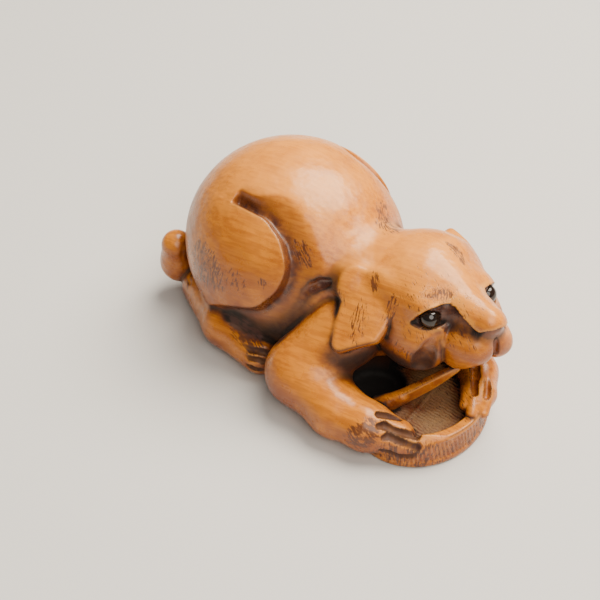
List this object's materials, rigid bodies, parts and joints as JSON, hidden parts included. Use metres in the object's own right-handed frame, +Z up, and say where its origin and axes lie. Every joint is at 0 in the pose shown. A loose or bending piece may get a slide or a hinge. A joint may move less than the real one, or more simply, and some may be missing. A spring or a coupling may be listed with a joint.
{
  "type": "netsuke",
  "caption": "Carved boxwood netsuke of a puppy lying with its chin and forepaws on a straw sandal, with inlaid dark eyes and cord holes in the flat underside.",
  "frame": {"origin": "centre of the footprint, on the surface that the netsuke stands on", "axes": "+X from the tail towards the muzzle, +Y to the animal's left, +Z up"},
  "size_m": [0.0538, 0.0339, 0.0274],
  "materials": {
    "boxwood": "hand-polished and stained boxwood, honey orange, dark brown stain left in the cuts",
    "dark_horn": "polished dark horn, near black"
  },
  "bodies": {
    "root": {"puppy_on_sandal": "boxwood", "eye_right": "dark_horn", "eye_left": "dark_horn"}
  },
  "joints": []
}
